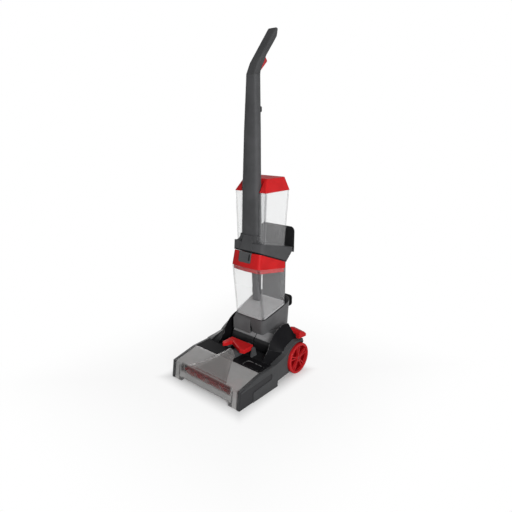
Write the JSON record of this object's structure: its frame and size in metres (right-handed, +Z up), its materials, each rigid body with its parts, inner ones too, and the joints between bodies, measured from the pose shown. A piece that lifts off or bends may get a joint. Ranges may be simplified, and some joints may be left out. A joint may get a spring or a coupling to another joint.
{
  "type": "upright carpet washer",
  "caption": "Upright carpet washer: wheeled base with a smoked suction nozzle and brush roll, reclining tower with a lower dirty-water tank, an upper clean-water tank and a trigger grip.",
  "frame": {"origin": "on the floor, under the middle of the outline", "axes": "+Z up, -Y the front with the nozzle, +X to the right as seen from the front"},
  "size_m": [0.311, 0.42, 1.0883],
  "materials": {
    "body_grey": "fine-grained moulded dark grey",
    "inner_black": "moulded black",
    "red_plastic": "satin moulded red",
    "smoked_clear": "smoked see-through plastic",
    "tank_clear": "clear see-through plastic",
    "separator_grey": "moulded mid grey",
    "rubber": "soft black rubber",
    "bristle": "red nylon filament",
    "steel": "bright steel",
    "motor_can": "motor can"
  },
  "bodies": {
    "base": {"side_panel_left": "body_grey", "side_panel_right": "body_grey", "pivot_guard_left": "inner_black", "pivot_guard_right": "inner_black", "pivot_bush_left": "inner_black", "pivot_bush_right": "inner_black", "wheel_axle_left": "steel", "wheel_axle_right": "steel", "floor_pan": "inner_black", "deck": "inner_black", "deck_rim": "body_grey", "belt_cover": "body_grey", "brush_hood": "inner_black", "brush_bearing_left": "inner_black", "brush_bearing_right": "inner_black", "brush_motor": "motor_can", "drive_belt": "rubber", "spray_bar": "inner_black", "suction_elbow": "inner_black", "latch_bracket": "inner_black", "pedal_bracket": "inner_black"},
    "nozzle": {"nozzle_cover": "smoked_clear", "suction_duct": "smoked_clear", "suction_lip": "rubber"},
    "brush_roll": {"brush_core": "inner_black", "brush_bristles": "bristle"},
    "motor_pulley": {"motor_pulley": "inner_black"},
    "wheel_left": {"wheel_left": "red_plastic"},
    "wheel_right": {"wheel_right": "red_plastic"},
    "nozzle_latch": {"nozzle_latch": "red_plastic"},
    "recline_pedal": {"recline_pedal": "red_plastic"},
    "tower": {"lower_body": "body_grey", "drum_end_cap": "body_grey", "motor_cover_left": "body_grey", "motor_cover_right": "body_grey", "suction_motor": "motor_can", "solution_pump": "inner_black", "solution_tube": "separator_grey", "spine": "body_grey", "cradle": "body_grey", "neck_front": "body_grey", "neck_rear": "body_grey", "neck_screws": "steel", "grip": "body_grey", "lower_cord_hook": "body_grey", "cord_gland": "inner_black"},
    "suction_fan": {"suction_fan": "inner_black"},
    "clean_tank": {"clean_tank": "tank_clear", "tank_valve": "separator_grey"},
    "tank_cap": {"tank_cap": "red_plastic"},
    "dirty_tank": {"dirty_tank": "tank_clear", "tank_lid": "red_plastic", "separator": "separator_grey"},
    "tank_button": {"tank_button": "inner_black"},
    "tank_float": {"tank_float": "separator_grey"},
    "trigger": {"trigger": "red_plastic"},
    "trigger_rod": {"trigger_rod": "inner_black"},
    "upper_cord_hook": {"upper_cord_hook": "body_grey"},
    "power_switch": {"power_switch": "inner_black"}
  },
  "joints": [
    {"name": "recline", "type": "hinge", "parent": "base", "child": "tower", "pos_m": [0, 0.065, 0.085], "axis": [-1, 0, 0], "range_deg": [0, 55]},
    {"name": "wheel_left_spin", "type": "hinge", "parent": "base", "child": "wheel_left", "pos_m": [-0.1465, 0.085, 0.053], "axis": [1, 0, 0], "continuous": true},
    {"name": "wheel_right_spin", "type": "hinge", "parent": "base", "child": "wheel_right", "pos_m": [0.1465, 0.085, 0.053], "axis": [1, 0, 0], "continuous": true},
    {"name": "brush_spin", "type": "hinge", "parent": "base", "child": "brush_roll", "pos_m": [0, -0.16, 0.032], "axis": [1, 0, 0], "continuous": true},
    {"name": "motor_pulley_spin", "type": "hinge", "parent": "base", "child": "motor_pulley", "pos_m": [0.07, -0.066, 0.045], "axis": [1, 0, 0], "continuous": true},
    {"name": "fan_spin", "type": "hinge", "parent": "tower", "child": "suction_fan", "pos_m": [-0.042, 0.065, 0.085], "axis": [1, 0, 0], "continuous": true},
    {"name": "nozzle_pull", "type": "slide", "parent": "base", "child": "nozzle", "axis": [0, -1, 0], "range_m": [0, 0.06]},
    {"name": "latch_lift", "type": "hinge", "parent": "base", "child": "nozzle_latch", "pos_m": [0, -0.033, 0.102], "axis": [-1, 0, 0], "range_deg": [0, 70]},
    {"name": "pedal_press", "type": "hinge", "parent": "base", "child": "recline_pedal", "pos_m": [0.12, 0.105, 0.123], "axis": [-1, 0, 0], "range_deg": [0, 10], "stiffness_Nm_per_rad": 1.5, "springref_deg": -5.73},
    {"name": "clean_tank_lift", "type": "slide", "parent": "tower", "child": "clean_tank", "axis": [0, 0, 1], "range_m": [0, 0.1]},
    {"name": "cap_lift", "type": "slide", "parent": "clean_tank", "child": "tank_cap", "axis": [0, 0, 1], "range_m": [0, 0.04]},
    {"name": "dirty_tank_pull", "type": "slide", "parent": "tower", "child": "dirty_tank", "axis": [0, -1, 0], "range_m": [0, 0.16]},
    {"name": "button_press", "type": "slide", "parent": "dirty_tank", "child": "tank_button", "axis": [0, 0.979, -0.204], "range_m": [0, 0.003], "stiffness_N_per_m": 500, "springref_m": -0.002},
    {"name": "float_rise", "type": "slide", "parent": "dirty_tank", "child": "tank_float", "axis": [0, 0, 1], "range_m": [0, 0.04]},
    {"name": "trigger_squeeze", "type": "hinge", "parent": "tower", "child": "trigger", "pos_m": [0, 0.046, 0.972], "axis": [1, 0, 0], "range_deg": [0, 8], "stiffness_Nm_per_rad": 1.2, "springref_deg": -5.73},
    {"name": "rod_push", "type": "slide", "parent": "tower", "child": "trigger_rod", "axis": [0, -0.0173, -0.9999], "range_m": [0, 0.0022]},
    {"name": "hook_swivel", "type": "hinge", "parent": "tower", "child": "upper_cord_hook", "pos_m": [0, 0.05, 0.85], "axis": [0, 1, 0], "range_deg": [0, 180]},
    {"name": "switch_rock", "type": "hinge", "parent": "tower", "child": "power_switch", "pos_m": [0, 0.1525, 0.152], "axis": [1, 0, 0], "range_deg": [-6, 6]}
  ],
  "couplings": [
    {"joint": "motor_pulley_spin", "follows": "brush_spin", "ratio": 1.5556},
    {"joint": "rod_push", "follows": "trigger_squeeze", "m_per_rad": 0.015}
  ]
}
